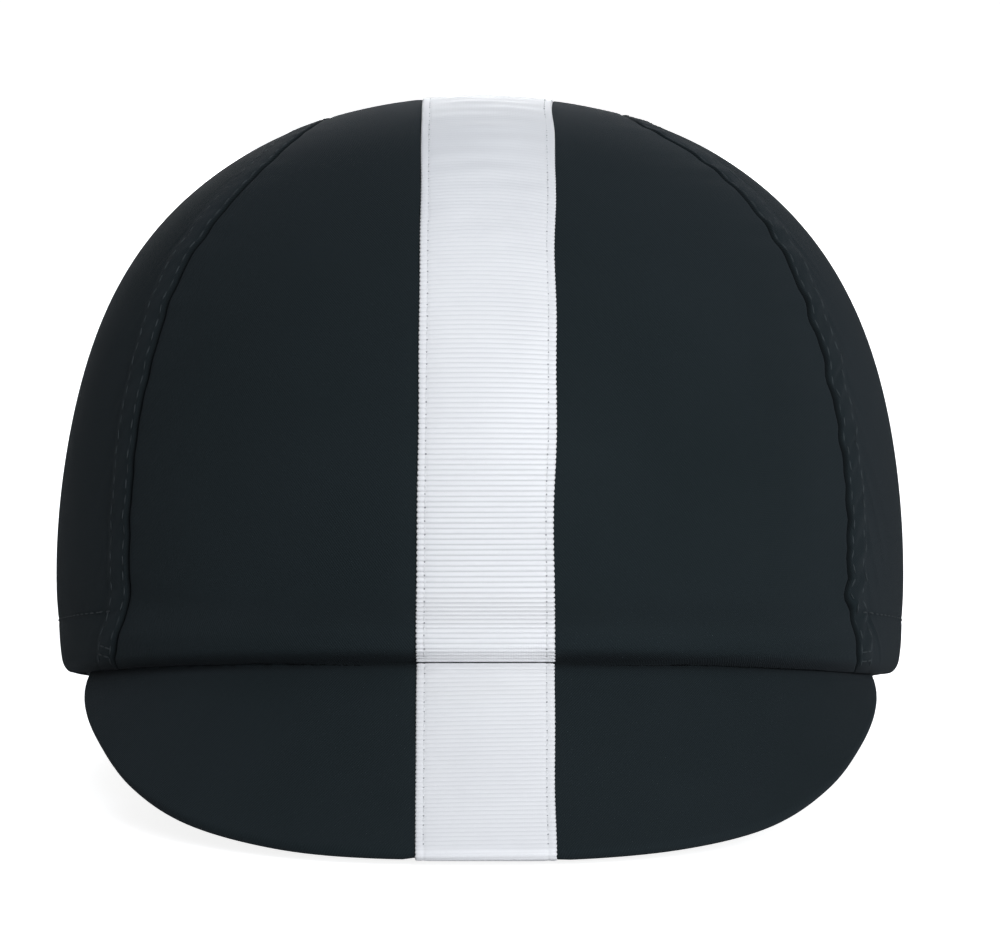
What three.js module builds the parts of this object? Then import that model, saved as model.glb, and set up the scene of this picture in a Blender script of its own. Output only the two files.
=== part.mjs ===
// Soft cloth cycling cap in millimetres: a crown of three panels, a short stiff peak turned down in front, and
// ribbed ribbon down the middle of both. The wearer's front faces -Y. The cap stands as it rests by itself, on the
// front edge of its peak and on the back of its hem, so the crown leans back.
import * as THREE from 'three';

const { clamp, degToRad, lerp, smoothstep } = THREE.MathUtils;

// Crown form, measured from the plane of the hem and from the middle of the widest level
const crownHalfWidth = 82.7;
const crownFrontReach = 92;
const crownBackReach = 109;
const widestHeight = 22;
const crownRise = 90.9;
const sideFullness = 0.096;
const hemNarrowing = 1.6;

// Cloth
const clothWall = 1.5;
const turnedHemWall = 2.4;
const turnedHemHeight = 10;
const hemRoundHeight = 3;
const hemRoundDepth = turnedHemWall * 2 / 3;
const clearance = 0.3;

// Front of the hem, which bulges over the root of the peak
const frontFlare = 4;
const flareHeight = 12;

// Seams between the middle panel and the side panels, whose edges lie raised and double-stitched
const seamRidgeHeight = 0.5;
const seamRidgeWidth = 7;

// Back of the hem, gathered by its elastic and pressed flat where it rests
const gatherDepth = 1.1;
const gatherHeight = 34;
const gathersPerTurn = 48;
const gatherStart = degToRad(128);
const gatherFull = degToRad(146);
const restStart = degToRad(118);
const restFull = degToRad(148);

// Peak
const peakLength = 44;
const peakThickness = 2.4;
const peakSpread = degToRad(70);
const peakDroopAtRoot = degToRad(56);
const peakDroopAtEdge = degToRad(50);
const peakRootHeight = 12;

// Ribbon
const ribbonWidth = 25;
const ribbonThickness = 1;
const ribbonOffset = 0.9;
const ribbonEndHeight = 1;
const peakRibbonStart = 0.8;
const peakRibbonReturn = 8;

// Fineness of the mesh
const domeRows = 26;
const middleColumns = 14;
const sideColumns = 8;
const ribbonColumns = 4;
const peakStations = 34;
const peakSteps = 4;
const noseSteps = 4;

// Seam lines on the flat pattern, from the front hem over the top to the back hem. The pattern is a disc: its middle
// is the top of the crown, its rim, at radius 1, is the hem, and across and along are shares of that radius.
const leftSeamRows = [
  { across: -0.803, along: -0.596 },
  { across: -0.705, along: -0.531 },
  { across: -0.611, along: -0.457 },
  { across: -0.509, along: -0.380 },
  { across: -0.424, along: -0.315 },
  { across: -0.348, along: -0.270 },
  { across: -0.287, along: -0.222 },
  { across: -0.226, along: -0.145 },
  { across: -0.180, along: -0.030 },
  { across: -0.160, along: 0.130 },
  { across: -0.180, along: 0.420 },
  { across: -0.250, along: 0.720 },
  { across: -0.340, along: 0.940 },
];
const rightSeamRows = [
  { across: 0.843, along: -0.538 },
  { across: 0.745, along: -0.475 },
  { across: 0.642, along: -0.409 },
  { across: 0.530, along: -0.338 },
  { across: 0.427, along: -0.267 },
  { across: 0.350, along: -0.212 },
  { across: 0.286, along: -0.178 },
  { across: 0.205, along: -0.130 },
  { across: 0.168, along: -0.020 },
  { across: 0.158, along: 0.130 },
  { across: 0.180, along: 0.420 },
  { across: 0.250, along: 0.720 },
  { across: 0.340, along: 0.940 },
];

// Length of the peak round the hem: turn is a share of the peak's spread, length a share of its full length
const peakOutlineRows = [
  { turn: 0, length: 1 },
  { turn: 0.143, length: 0.993 },
  { turn: 0.286, length: 0.945 },
  { turn: 0.429, length: 0.83 },
  { turn: 0.571, length: 0.636 },
  { turn: 0.714, length: 0.402 },
  { turn: 0.857, length: 0.186 },
  { turn: 0.929, length: 0.08 },
  { turn: 1, length: 0.03 },
];

// Sizes worked out from those above
const meanReach = (crownFrontReach + crownBackReach) / 2;
const reachSkew = (crownBackReach - crownFrontReach) / 2;
const domeGirth = Math.PI / 4 * (crownRise + (crownHalfWidth + meanReach) / 2);
const widestRadius = domeGirth / (domeGirth + widestHeight);
const patternPerHeight = (1 - widestRadius) / widestHeight;
const probe = 1e-3;

// Heights above the hem at which the mesh has a row, so that the round edge, the bulge and the turned hem show
const hemLevels = [
  0,
  hemRoundHeight * 0.13,
  hemRoundHeight * 0.47,
  hemRoundHeight,
  flareHeight * 0.5,
  turnedHemHeight * 0.96,
  turnedHemHeight * 1.12,
].sort((a, b) => a - b);
const hemRows = [...hemLevels, widestHeight].map((level) => level * patternPerHeight);
const hemSteps = hemRows.length - 1;

// The crown as a smooth form, without the bulge, gathers and round edge of its cloth
function formPoint(across, along) {
  const radius = Math.max(Math.hypot(across, along), Number.EPSILON);
  const sideways = across / radius;
  const backwards = along / radius;
  const fullness = sideFullness * sideways ** 2;
  const climb = Math.min(radius / widestRadius, 1) * Math.PI / 2;
  const rise = Math.cos(climb);
  const down = Math.max(radius - widestRadius, 0) / (1 - widestRadius);
  const narrowing = 1 - hemNarrowing / crownHalfWidth * down ** 2;
  const spread = Math.sin(climb) * (1 + fullness * rise ** 2) * narrowing;
  const domeHeight = crownRise * rise * (1 + fullness * Math.sin(climb) ** 2);
  return new THREE.Vector3(
    crownHalfWidth * sideways * spread,
    meanReach * backwards * spread + reachSkew * (backwards * spread) ** 2,
    widestHeight * (1 - down) + domeHeight,
  );
}

// Square to the form over the dome, and level all round below its widest level
function formNormal(across, along) {
  const rightward = formPoint(across + probe, along).sub(formPoint(across - probe, along));
  const backward = formPoint(across, along + probe).sub(formPoint(across, along - probe));
  const normal = rightward.cross(backward);
  if (Math.hypot(across, along) > widestRadius) normal.setZ(0);
  return normal.normalize();
}

// Angle round the crown, from 0 at the front to half a turn at the back
function turnFromFront(across, along) {
  return Math.abs(Math.atan2(across, -along));
}

function frontBulge(turn, level) {
  const fade = 1 - smoothstep(level, flareHeight / 3, flareHeight);
  return frontFlare * Math.max(Math.cos(turn), 0) * fade;
}

function roundIn(turn, level) {
  const reach = clamp(1 - level / hemRoundHeight, 0, 1);
  const pressed = 1 - 0.6 * smoothstep(turn, restStart, restFull);
  return hemRoundDepth * pressed * (1 - Math.sqrt(1 - reach ** 2));
}

// The ribbon holds the cloth under it flat, so the gathers start beside it
function gathers(turn, level) {
  const fromMiddle = (Math.PI - turn) * crownBackReach;
  const besideRibbon = smoothstep(fromMiddle, ribbonWidth / 2 + ribbonOffset, ribbonWidth);
  const fade = smoothstep(turn, gatherStart, gatherFull) * (1 - smoothstep(level, 0, gatherHeight));
  return gatherDepth * fade * besideRibbon * Math.cos(gathersPerTurn * turn);
}

function wallAt(level) {
  const above = smoothstep(level, turnedHemHeight * 0.97, turnedHemHeight * 1.1);
  return lerp(turnedHemWall, clothWall, above);
}

// Under the peak the hem's lower edge slopes as the peak does, so the two lie close together
function hemBevel(turn, level) {
  const fade = 1 - smoothstep(turn, peakSpread + degToRad(3), peakSpread + degToRad(15));
  const rise = (turnedHemWall - hemRoundDepth) * Math.tan(peakDroopAtRoot);
  return rise * fade * Math.max(1 - level / turnedHemHeight, 0);
}

// How far the cloth is pressed down at the back: its lower edge lies in the plane that the cap rests on
function settle(point, turn, level, restSlope) {
  const low = clamp(1 - level / widestHeight, 0, 1) ** 2;
  const backEdge = formPoint(0, 1).y;
  point.z -= restSlope * (backEdge - point.y) * smoothstep(turn, restStart, restFull) * low;
  return point;
}

// A point of the cloth: lift is how far outside the cloth's outer face it lies
function clothPoint(across, along, lift, restSlope) {
  const turn = turnFromFront(across, along);
  const level = (1 - Math.hypot(across, along)) / patternPerHeight;
  const out = frontBulge(turn, level) + gathers(turn, level) - roundIn(turn, level) + lift;
  const point = formPoint(across, along).addScaledVector(formNormal(across, along), out);
  return settle(point, turn, level, restSlope);
}

function liningPoint(across, along, restSlope) {
  const turn = turnFromFront(across, along);
  const level = (1 - Math.hypot(across, along)) / patternPerHeight;
  const out = frontBulge(turn, level) + gathers(turn, level) - wallAt(level);
  const point = formPoint(across, along).addScaledVector(formNormal(across, along), out);
  point.z += hemBevel(turn, level);
  return settle(point, turn, level, restSlope);
}

// A closed solid from its points, with repeated points merged and its faces turned outwards
function closedGeometry(addFaces) {
  const places = [];
  const known = new Map();
  const triangles = [];
  const index = (point) => {
    const key = point.toArray().map((value) => Math.round(value * 1000)).join();
    if (!known.has(key)) {
      known.set(key, places.length);
      places.push(point);
    }
    return known.get(key);
  };
  const triangle = (a, b, c) => {
    if (a !== b && b !== c && c !== a) triangles.push([a, b, c]);
  };
  const quad = (a, b, c, d) => {
    triangle(a, b, c);
    triangle(a, c, d);
  };
  addFaces(index, triangle, quad);
  const volume = triangles.reduce((sum, [a, b, c]) => {
    return sum + places[a].dot(places[b].clone().cross(places[c]));
  }, 0);
  const facing = volume > 0 ? triangles : triangles.map(([a, b, c]) => [a, c, b]);
  const geometry = new THREE.BufferGeometry();
  geometry.setFromPoints(places);
  geometry.setIndex(facing.flat());
  geometry.computeVertexNormals();
  return geometry;
}

// A wall between an outer and an inner sheet, each a grid of rows and columns, closed round its four edges
function wallGeometry(rows, columns, outerAt, innerAt) {
  return closedGeometry((index, triangle, quad) => {
    const sheet = (pointAt) => Array.from({ length: rows + 1 }, (_, row) => {
      return Array.from({ length: columns + 1 }, (__, column) => index(pointAt(row, column)));
    });
    const outer = sheet(outerAt);
    const inner = sheet(innerAt);
    for (let row = 0; row < rows; row += 1) {
      for (let column = 0; column < columns; column += 1) {
        quad(outer[row][column], outer[row][column + 1], outer[row + 1][column + 1], outer[row + 1][column]);
        quad(inner[row][column], inner[row + 1][column], inner[row + 1][column + 1], inner[row][column + 1]);
      }
      quad(outer[row][0], outer[row + 1][0], inner[row + 1][0], inner[row][0]);
      quad(outer[row + 1][columns], outer[row][columns], inner[row][columns], inner[row + 1][columns]);
    }
    for (let column = 0; column < columns; column += 1) {
      quad(inner[0][column], inner[0][column + 1], outer[0][column + 1], outer[0][column]);
      quad(outer[rows][column], outer[rows][column + 1], inner[rows][column + 1], inner[rows][column]);
    }
  });
}

// A seam line with rows at the heights of the hem at both ends and evenly spaced rows over the dome
function seamLine(seamRows) {
  const corners = seamRows.map(({ across, along }) => new THREE.Vector3(across, along, 0));
  for (const end of [corners[0], corners[corners.length - 1]]) end.normalize();
  const curve = new THREE.CatmullRomCurve3(corners, false, 'centripetal');
  const length = curve.getLength();
  const rows = hemSteps * 2 + domeRows;
  const travelled = (row) => {
    if (row <= hemSteps) return hemRows[row];
    if (row >= rows - hemSteps) return length - hemRows[rows - row];
    return lerp(hemRows[hemSteps], length - hemRows[hemSteps], (row - hemSteps) / domeRows);
  };
  return { curve, length, rows, travelled };
}

// A place beside a seam line: shift is in millimetres over the cloth, to the right of the way from front to back
function besideSeam(seam, row, shift) {
  const share = clamp(seam.travelled(row) / seam.length, 0, 1);
  const place = seam.curve.getPointAt(share);
  const heading = seam.curve.getTangentAt(share);
  const right = new THREE.Vector3(heading.y, -heading.x, 0);
  const ahead = formPoint(place.x + right.x * probe, place.y + right.y * probe);
  const scale = ahead.distanceTo(formPoint(place.x, place.y)) / probe;
  place.addScaledVector(right, shift / scale);
  const atHem = row === 0 || row === seam.rows;
  return atHem || place.length() > 1 ? place.normalize() : place;
}

const leftSeam = seamLine(leftSeamRows);
const rightSeam = seamLine(rightSeamRows);

// Middle panel: each row runs from seam to seam, bowed as the hem is near the hem and straighter over the top
function middlePlace(row, column) {
  const across = column / middleColumns;
  const left = besideSeam(leftSeam, row, clearance / 2);
  const right = besideSeam(rightSeam, row, -clearance / 2);
  const place = left.clone().lerp(right, across);
  const travelled = (leftSeam.travelled(row) + rightSeam.travelled(row)) / 2;
  const whole = (leftSeam.length + rightSeam.length) / 2;
  for (const [endRow, away] of [[0, travelled], [leftSeam.rows, whole - travelled]]) {
    const from = besideSeam(leftSeam, endRow, clearance / 2);
    const to = besideSeam(rightSeam, endRow, -clearance / 2);
    const turn = lerp(Math.atan2(from.y, from.x), Math.atan2(to.y, to.x), across);
    const bow = new THREE.Vector3(Math.cos(turn), Math.sin(turn), 0).sub(from.clone().lerp(to, across));
    place.addScaledVector(bow, Math.max(1 - away, 0));
  }
  return place;
}

function middlePanelGeometry(restSlope) {
  const outerAt = (row, column) => {
    const place = middlePlace(row, column);
    return clothPoint(place.x, place.y, 0, restSlope);
  };
  const innerAt = (row, column) => {
    const place = middlePlace(row, column);
    return liningPoint(place.x, place.y, restSlope);
  };
  return wallGeometry(leftSeam.rows, middleColumns, outerAt, innerAt);
}

// Side panel: its first column is the seam, its second the outer line of stitches, and its last the hem
function sidePlace(seam, side, row, column) {
  if (column === 0) return besideSeam(seam, row, side * clearance / 2);
  const start = besideSeam(seam, row, side * seamRidgeWidth);
  if (column === 1) return start;
  const turnAt = (place) => Math.atan2(Math.abs(place.x), -place.y);
  const firstTurn = turnAt(besideSeam(seam, 0, side * seamRidgeWidth));
  const lastTurn = turnAt(besideSeam(seam, seam.rows, side * seamRidgeWidth));
  const hemTurn = lerp(firstTurn, lastTurn, seam.travelled(row) / seam.length);
  const span = 1 - start.length();
  const hemBand = hemRows[hemSteps - 1];
  const squeeze = Math.min(1, span / (2 * hemBand));
  const step = column - 1;
  const radius = step <= sideColumns
    ? lerp(start.length(), 1 - hemBand * squeeze, step / sideColumns)
    : 1 - hemRows[hemSteps - 1 - (step - sideColumns)] * squeeze;
  const share = span > 0 ? (radius - start.length()) / span : 1;
  const turn = lerp(turnAt(start), hemTurn, share);
  return new THREE.Vector3(side * radius * Math.sin(turn), -radius * Math.cos(turn), 0);
}

function sidePanelGeometry(seam, side, restSlope) {
  const columns = 1 + sideColumns + hemSteps - 1;
  const outerAt = (row, column) => {
    const place = sidePlace(seam, side, row, column);
    return clothPoint(place.x, place.y, column === 0 ? seamRidgeHeight : 0, restSlope);
  };
  const innerAt = (row, column) => {
    const place = sidePlace(seam, side, row, column);
    return liningPoint(place.x, place.y, restSlope);
  };
  return wallGeometry(seam.rows, columns, outerAt, innerAt);
}

// Crown ribbon: it keeps its width in millimetres, so its place on the pattern is searched for
function ribbonPlace(reach, sideways) {
  const front = Math.sign(reach);
  const bowed = smoothstep(Math.abs(reach), 0.3, widestRadius);
  let across = 0;
  let along = reach;
  for (let round = 0; round < 8; round += 1) {
    const here = clothPoint(across, along, 0, 0).x;
    const next = clothPoint(across + probe, along, 0, 0).x;
    across += (sideways - here) * probe / (next - here);
    along = front * Math.sqrt(Math.max(reach ** 2 - bowed * across ** 2, 0));
  }
  return { across, along };
}

function crownRibbonGeometry(restSlope) {
  const endRows = hemRows.filter((row) => row > ribbonEndHeight * patternPerHeight);
  const ends = [ribbonEndHeight * patternPerHeight, ...endRows];
  const dome = domeRows * 2;
  const rows = (ends.length - 1) * 2 + dome;
  const top = 1 - ends[ends.length - 1];
  const reachAt = (row) => {
    if (row < ends.length) return ends[row] - 1;
    if (row > rows - ends.length) return 1 - ends[rows - row];
    return lerp(-top, top, (row - ends.length + 1) / dome);
  };
  const pointAt = (lift) => (row, column) => {
    const sideways = ribbonOffset + ribbonWidth * (column / ribbonColumns - 0.5);
    const { across, along } = ribbonPlace(reachAt(row), sideways);
    return clothPoint(across, along, lift, restSlope);
  };
  const under = pointAt(clearance);
  const over = pointAt(clearance + ribbonThickness);
  return wallGeometry(rows, ribbonColumns, over, under);
}

// Smooth curve through the rows of a table
function readRows(rows, at, from, column) {
  const last = rows.length - 2;
  const i = clamp(rows.findIndex((row) => row[from] > at) - 1, 0, last);
  const step = rows[i + 1][from] - rows[i][from];
  const share = at >= rows[last + 1][from] ? 1 : (at - rows[i][from]) / step;
  const place = at >= rows[last + 1][from] ? last : i;
  const slopeAt = (k) => {
    const before = rows[Math.max(k - 1, 0)];
    const after = rows[Math.min(k + 1, last + 1)];
    return k === 0 ? 0 : (after[column] - before[column]) / (after[from] - before[from]);
  };
  const width = rows[place + 1][from] - rows[place][from];
  const rest = 1 - share;
  return rows[place][column] * (1 + 2 * share) * rest ** 2 + slopeAt(place) * width * share * rest ** 2
    + rows[place + 1][column] * (3 - 2 * share) * share ** 2 - slopeAt(place + 1) * width * share ** 2 * rest;
}

// Peak: its section at one place of the hem, as distances out from the hem line and heights above its plane.
// The upper face comes down inside the hem, turns out under it and slopes down to the round front edge.
function peakSection(turn) {
  const length = peakLength * readRows(peakOutlineRows, Math.abs(turn) / peakSpread, 'turn', 'length');
  const slopeLength = Math.max(length - peakThickness / 2, peakThickness / 2);
  const rootOut = -turnedHemWall - clearance;
  const creaseOut = frontBulge(Math.abs(turn), 0) - hemRoundDepth;
  const creaseHeight = -clearance / Math.cos(peakDroopAtRoot);
  const kneeHeight = creaseHeight + (creaseOut - rootOut) * Math.tan(peakDroopAtRoot);
  const upper = [
    { out: rootOut, height: Math.max(peakRootHeight, kneeHeight + peakThickness), droop: Math.PI / 2 },
    { out: rootOut, height: kneeHeight, droop: (Math.PI / 2 + peakDroopAtRoot) / 2 },
    { out: creaseOut, height: creaseHeight, droop: peakDroopAtRoot },
  ];
  for (let step = 1; step <= peakSteps; step += 1) {
    const last = upper[upper.length - 1];
    const middle = lerp(peakDroopAtRoot, peakDroopAtEdge, (step - 0.5) / peakSteps);
    upper.push({
      out: last.out + Math.cos(middle) * slopeLength / peakSteps,
      height: last.height - Math.sin(middle) * slopeLength / peakSteps,
      droop: lerp(peakDroopAtRoot, peakDroopAtEdge, step / peakSteps),
    });
  }
  return upper;
}

// Point of the section's upper face moved out from the peak, square to it
function offFace({ out, height, droop }, distance) {
  const reach = droop > peakDroopAtRoot && droop < Math.PI / 2
    ? distance / Math.cos((Math.PI / 2 - peakDroopAtRoot) / 2)
    : distance;
  return { out: out + Math.sin(droop) * reach, height: height + Math.cos(droop) * reach };
}

// Point on a half circle round the peak's front edge, from its upper face at 0 to its under face at 1
function roundEdge(section, share, distance) {
  const last = section[section.length - 1];
  const centre = offFace(last, -peakThickness / 2);
  const angle = Math.PI / 2 - last.droop - share * Math.PI;
  const radius = peakThickness / 2 + distance;
  return { out: centre.out + Math.cos(angle) * radius, height: centre.height + Math.sin(angle) * radius };
}

function peakPoint(turn, { out, height }) {
  const across = Math.sin(turn);
  const along = -Math.cos(turn);
  const point = formPoint(across, along);
  point.addScaledVector(formNormal(across, along), out);
  point.z = height;
  return point;
}

function peakOutline(turn) {
  const section = peakSection(turn);
  const nose = [];
  for (let step = 1; step < noseSteps; step += 1) nose.push(roundEdge(section, step / noseSteps, 0));
  const under = section.map((place) => offFace(place, -peakThickness)).reverse();
  return [...section, ...nose, ...under];
}

// Flat end of the peak, cut into triangles that run the same way round as its outline
function endFaces(outline) {
  const flat = outline.map(({ out, height }) => new THREE.Vector2(out, height));
  const way = Math.sign(THREE.ShapeUtils.area(flat));
  return THREE.ShapeUtils.triangulateShape([...flat], []).map(([a, b, c]) => {
    return Math.sign(THREE.ShapeUtils.area([flat[a], flat[b], flat[c]])) === way ? [a, b, c] : [a, c, b];
  });
}

function peakGeometry() {
  return closedGeometry((index, triangle, quad) => {
    const rings = [];
    for (let station = 0; station <= peakStations; station += 1) {
      const turn = lerp(-peakSpread, peakSpread, station / peakStations);
      const outline = peakOutline(turn);
      rings.push({ outline, corners: outline.map((place) => index(peakPoint(turn, place))) });
    }
    for (let station = 0; station < peakStations; station += 1) {
      const here = rings[station].corners;
      const next = rings[station + 1].corners;
      here.forEach((corner, k) => {
        const after = (k + 1) % here.length;
        quad(corner, next[k], next[after], here[after]);
      });
    }
    for (const [a, b, c] of endFaces(rings[0].outline)) {
      triangle(rings[0].corners[a], rings[0].corners[b], rings[0].corners[c]);
    }
    for (const [a, b, c] of endFaces(rings[peakStations].outline)) {
      triangle(rings[peakStations].corners[a], rings[peakStations].corners[c], rings[peakStations].corners[b]);
    }
  });
}

// Peak ribbon: down the upper face, round the front edge and a short way back under it
function peakRibbonPath(turn, distance) {
  const section = peakSection(turn);
  const crease = section[2];
  const face = section.slice(3);
  const start = {
    out: crease.out + Math.cos(peakDroopAtRoot) * peakRibbonStart,
    height: crease.height - Math.sin(peakDroopAtRoot) * peakRibbonStart,
    droop: peakDroopAtRoot,
  };
  const path = [start, ...face].map((place) => offFace(place, distance));
  for (let step = 1; step < noseSteps; step += 1) path.push(roundEdge(section, step / noseSteps, distance));
  const last = section[section.length - 1];
  for (const back of [0, peakRibbonReturn]) {
    const place = {
      out: last.out - Math.cos(peakDroopAtEdge) * back,
      height: last.height + Math.sin(peakDroopAtEdge) * back,
      droop: last.droop,
    };
    path.push(offFace(place, -peakThickness - distance));
  }
  return path;
}

function peakRibbonGeometry() {
  const rows = peakRibbonPath(0, 0).length - 1;
  const pointAt = (distance) => (row, column) => {
    const sideways = ribbonOffset + ribbonWidth * (column / ribbonColumns - 0.5);
    let turn = sideways / crownHalfWidth;
    for (let round = 0; round < 8; round += 1) {
      const here = peakPoint(turn, peakRibbonPath(turn, distance)[row]).x;
      const next = peakPoint(turn + probe, peakRibbonPath(turn + probe, distance)[row]).x;
      turn += (sideways - here) * probe / (next - here);
    }
    return peakPoint(turn, peakRibbonPath(turn, distance)[row]);
  };
  return wallGeometry(rows, ribbonColumns, pointAt(clearance + ribbonThickness), pointAt(clearance));
}

// Slope of the plane that touches the back of the hem and the lowest of the peak
function slopeOfRest(geometries) {
  const backEdge = formPoint(0, 1).y;
  let slope = 0;
  for (const geometry of geometries) {
    const place = geometry.getAttribute('position');
    for (let i = 0; i < place.count; i += 1) {
      slope = Math.max(slope, -place.getZ(i) / (backEdge - place.getY(i)));
    }
  }
  return slope;
}

function sewn(name, geometry, material) {
  const mesh = new THREE.Mesh(geometry, material);
  mesh.name = name;
  return mesh;
}

const cloth = () => new THREE.MeshStandardMaterial({ color: 0x232a2d, roughness: 0.92, metalness: 0 });
const ribbon = () => new THREE.MeshStandardMaterial({ color: 0xe3e5e8, roughness: 0.7, metalness: 0 });

const peak = peakGeometry();
const peakRibbon = peakRibbonGeometry();
const restSlope = slopeOfRest([peak, peakRibbon]);

const cap = new THREE.Group();
cap.add(
  sewn('centre_panel', middlePanelGeometry(restSlope), cloth()),
  sewn('side_panel_left', sidePanelGeometry(leftSeam, -1, restSlope), cloth()),
  sewn('side_panel_right', sidePanelGeometry(rightSeam, 1, restSlope), cloth()),
  sewn('crown_ribbon', crownRibbonGeometry(restSlope), ribbon()),
  sewn('peak', peak, cloth()),
  sewn('peak_ribbon', peakRibbon, ribbon()),
);
cap.rotation.x = -Math.atan(restSlope);
cap.updateMatrixWorld(true);

// The origin is the middle of the cap's footprint, on the surface that it rests on
const bounds = new THREE.Box3().setFromObject(cap, true);
const middle = bounds.getCenter(new THREE.Vector3());
cap.position.set(-middle.x, -middle.y, -bounds.min.z);

const model = new THREE.Group();
model.name = 'cycling_cap';
model.add(cap);

export default model;
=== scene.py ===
import math

import bmesh
import bpy
import numpy as np
from mathutils import Matrix, Vector


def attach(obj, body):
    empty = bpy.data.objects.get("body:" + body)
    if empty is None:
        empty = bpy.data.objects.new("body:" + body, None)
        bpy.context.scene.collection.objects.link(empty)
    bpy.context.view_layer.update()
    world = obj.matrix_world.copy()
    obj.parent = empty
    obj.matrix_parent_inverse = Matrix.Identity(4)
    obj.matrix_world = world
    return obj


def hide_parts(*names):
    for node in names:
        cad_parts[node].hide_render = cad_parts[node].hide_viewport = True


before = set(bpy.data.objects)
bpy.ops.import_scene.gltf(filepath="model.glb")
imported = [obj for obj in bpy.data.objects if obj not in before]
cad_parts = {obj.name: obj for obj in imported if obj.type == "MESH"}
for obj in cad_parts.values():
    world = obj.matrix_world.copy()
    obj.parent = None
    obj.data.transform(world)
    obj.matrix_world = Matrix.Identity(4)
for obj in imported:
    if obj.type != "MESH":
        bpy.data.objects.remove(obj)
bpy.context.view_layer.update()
print("frame loaded:", ", ".join(sorted(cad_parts)))

crown = {
    "halfWidth": 82.7,
    "frontReach": 92.0,
    "backReach": 109.0,
    "widestHeight": 22.0,
    "rise": 90.9,
    "sideFullness": 0.096,
    "hemNarrowing": 1.6,
    "frontFlare": 4.0,  # bulge of the front hem over the root of the peak
    "flareHeight": 12.0,
    "lean": 0.1682420540184627,  # how far the resting cap leans back, in radians
    "place": (-0.0076, 5.474279826, 17.871868055),
    "pressedTurns": (math.radians(118), math.radians(148)),  # the back of the hem lies flat from there on
}

cloth = {
    "wall": 1.5,
    "turnedHemWall": 2.4,
    "turnedHemHeight": 10.0,
    "hemRoundHeight": 2.8,
    "hemRoundDepth": 1.6,
    "hemRoll": 1.6,  # how far the front hem swells out above the crease with the peak
    "rollTurns": (math.radians(35), math.radians(75)),
    # painted shade in the crease between the hem and the peak: how dark, how high and over which turns
    "creaseShade": 0.65,
    "creaseHeight": 2.2,
    "creaseTurns": (math.radians(58), math.radians(76)),
    "clearance": 0.3,  # between the root of the peak and the hem round it
    "gatherDepth": 1.1,
    "gatherHeight": 34.0,
    "gatherTurns": (math.radians(128), math.radians(146)),
    "gathersPerTurn": 48,
    "waveDepth": 0.3,  # broad soft waves of the filled-out cloth
    "reliefInside": {"centre": 0.6, "side": 0.3},  # share of the outer relief that shows inside
    "centreColumns": 112,
    "centreBunching": 0.105,  # how close the columns stand at the seams
    "sideColumns": 49,
    # how far the front hem hangs over the root of the peak, by the angle from the front in degrees
    "hemDrop": (
        (-86, 0), (-76, 0.7), (-68, 1.0), (-56, 1.0), (-48, 0.8), (-30, 0.82), (0, 0.85), (18, 0.8),
        (37, 1.2), (56, 1.5), (68, 1.4), (77, 0.8), (87, 0),
    ),
}

# Seam lines on the flat pattern, front hem to back hem, as shares of the pattern's radius: across, along
leftSeamRows = [
    (-0.803, -0.596), (-0.705, -0.531), (-0.611, -0.457), (-0.509, -0.380), (-0.424, -0.315),
    (-0.348, -0.270), (-0.287, -0.222), (-0.226, -0.145), (-0.180, -0.030), (-0.160, 0.130),
    (-0.180, 0.420), (-0.250, 0.720), (-0.340, 0.940),
]
rightSeamRows = [
    (0.843, -0.538), (0.745, -0.475), (0.642, -0.409), (0.530, -0.338), (0.427, -0.267),
    (0.350, -0.212), (0.286, -0.178), (0.205, -0.130), (0.168, -0.020), (0.158, 0.130),
    (0.180, 0.420), (0.250, 0.720), (0.340, 0.940),
]

meanReach = (crown["frontReach"] + crown["backReach"]) / 2
reachSkew = (crown["backReach"] - crown["frontReach"]) / 2
domeGirth = math.pi / 4 * (crown["rise"] + (crown["halfWidth"] + meanReach) / 2)
widestRadius = domeGirth / (domeGirth + crown["widestHeight"])
patternPerHeight = (1 - widestRadius) / crown["widestHeight"]
probe = 1e-3  # small step on the pattern, for measuring slopes
outwards = {"left": -1, "right": 1}


def smoothStep(value, low, high):
    share = np.clip((value - low) / (high - low), 0, 1)
    return share * share * (3 - 2 * share)


def fadeOut(value, low, high):
    return 1 - smoothStep(value, low, high)


def lerp(low, high, share):
    return low + (high - low) * share


def fromTable(value, table):
    return np.interp(value, *np.array(table).T)


# A hump round a place, with its half width
def hump(value, place, width):
    return np.exp(-(((value - place) / width) ** 2))


# Length travelled to each point of a line
def travelledOver(points):
    return np.concatenate([[0], np.cumsum(np.linalg.norm(np.diff(points, axis=0), axis=-1))])


# Length travelled along each row of a grid of points
def travelledInRows(points):
    run = np.cumsum(np.linalg.norm(np.diff(points, axis=1), axis=-1), axis=1)
    return np.concatenate([np.zeros((len(run), 1)), run], axis=1)


# The crown as a smooth form
def formPoint(across, along):
    radius = np.maximum(np.hypot(across, along), 1e-9)
    sideways = across / radius
    backwards = along / radius
    fullness = crown["sideFullness"] * sideways**2
    climb = np.minimum(radius / widestRadius, 1) * math.pi / 2
    rise = np.cos(climb)
    down = np.maximum(radius - widestRadius, 0) / (1 - widestRadius)
    narrowing = 1 - crown["hemNarrowing"] / crown["halfWidth"] * down**2
    spread = np.sin(climb) * (1 + fullness * rise**2) * narrowing
    height = crown["rise"] * rise * (1 + fullness * np.sin(climb) ** 2)
    return np.stack(
        [
            crown["halfWidth"] * sideways * spread,
            meanReach * backwards * spread + reachSkew * (backwards * spread) ** 2,
            crown["widestHeight"] * (1 - down) + height,
        ],
        axis=-1,
    )


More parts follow.
